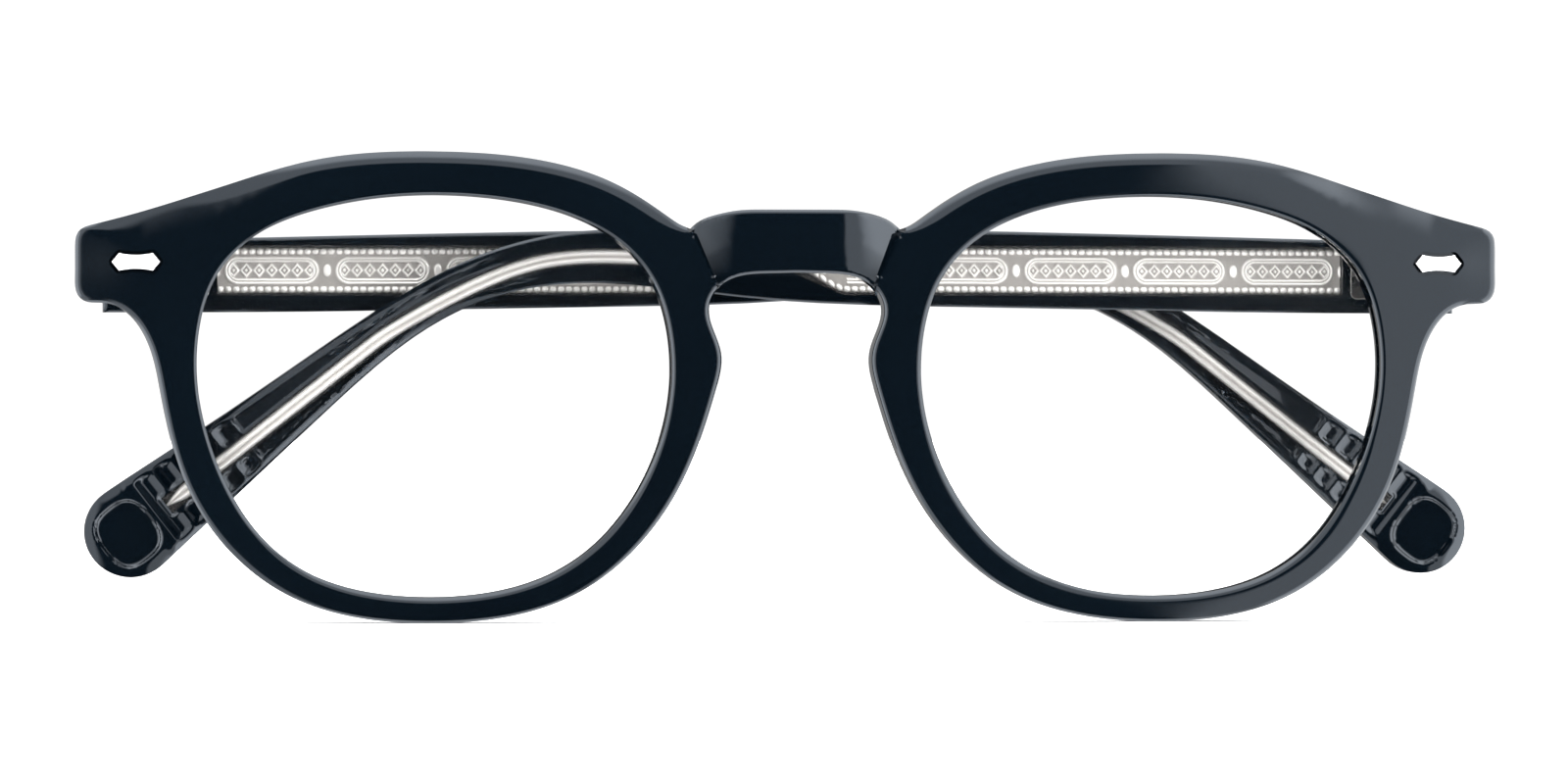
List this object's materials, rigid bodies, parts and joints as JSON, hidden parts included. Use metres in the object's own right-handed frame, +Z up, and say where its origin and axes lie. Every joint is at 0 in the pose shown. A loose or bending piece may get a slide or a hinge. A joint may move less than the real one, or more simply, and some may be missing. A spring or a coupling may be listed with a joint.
{
  "type": "eyeglasses",
  "caption": "Round-panto eyeglasses with a glossy black front, keyhole bridge, metal end-piece plaques and hinged temples with a metal core in a clear window; stored folded.",
  "frame": {"origin": "below the middle of the folded glasses, at the height of the rims' lowest points", "axes": "+X towards the wearer's left, -Y the way the wearer looks, +Z up"},
  "size_m": [0.1394, 0.02, 0.0457],
  "materials": {
    "black_plastic": "high gloss",
    "clear_lens": "clear, polished",
    "clear_inlay": "clear, polished",
    "core_metal": "engraved nickel silver, satin",
    "polished_plaque": "polished",
    "hinge_metal": "satin nickel",
    "screw_steel": "turned"
  },
  "bodies": {
    "front": {"front_frame": "black_plastic", "lens_left": "clear_lens", "lens_right": "clear_lens", "nose_pad_left": "black_plastic", "nose_pad_right": "black_plastic", "plaque_left": "polished_plaque", "plaque_right": "polished_plaque", "front_hinge_leaf_left": "hinge_metal", "front_hinge_leaf_right": "hinge_metal", "hinge_screw_left": "screw_steel", "hinge_screw_right": "screw_steel"},
    "left_temple": {"temple_shell_left": "black_plastic", "clear_inlay_left": "clear_inlay", "temple_core_left": "core_metal", "temple_hinge_leaf_left": "hinge_metal", "temple_rivets_left": "screw_steel"},
    "right_temple": {"temple_shell_right": "black_plastic", "clear_inlay_right": "clear_inlay", "temple_core_right": "core_metal", "temple_hinge_leaf_right": "hinge_metal", "temple_rivets_right": "screw_steel"}
  },
  "joints": [
    {"name": "left_temple_hinge", "type": "hinge", "parent": "front", "child": "left_temple", "pos_m": [0.0647, 0.00234, 0.0339], "axis": [0, 0, -1], "range_deg": [0, 94]},
    {"name": "right_temple_hinge", "type": "hinge", "parent": "front", "child": "right_temple", "pos_m": [-0.0647, 0.00234, 0.0339], "axis": [0, 0, 1], "range_deg": [0, 90.6]}
  ]
}
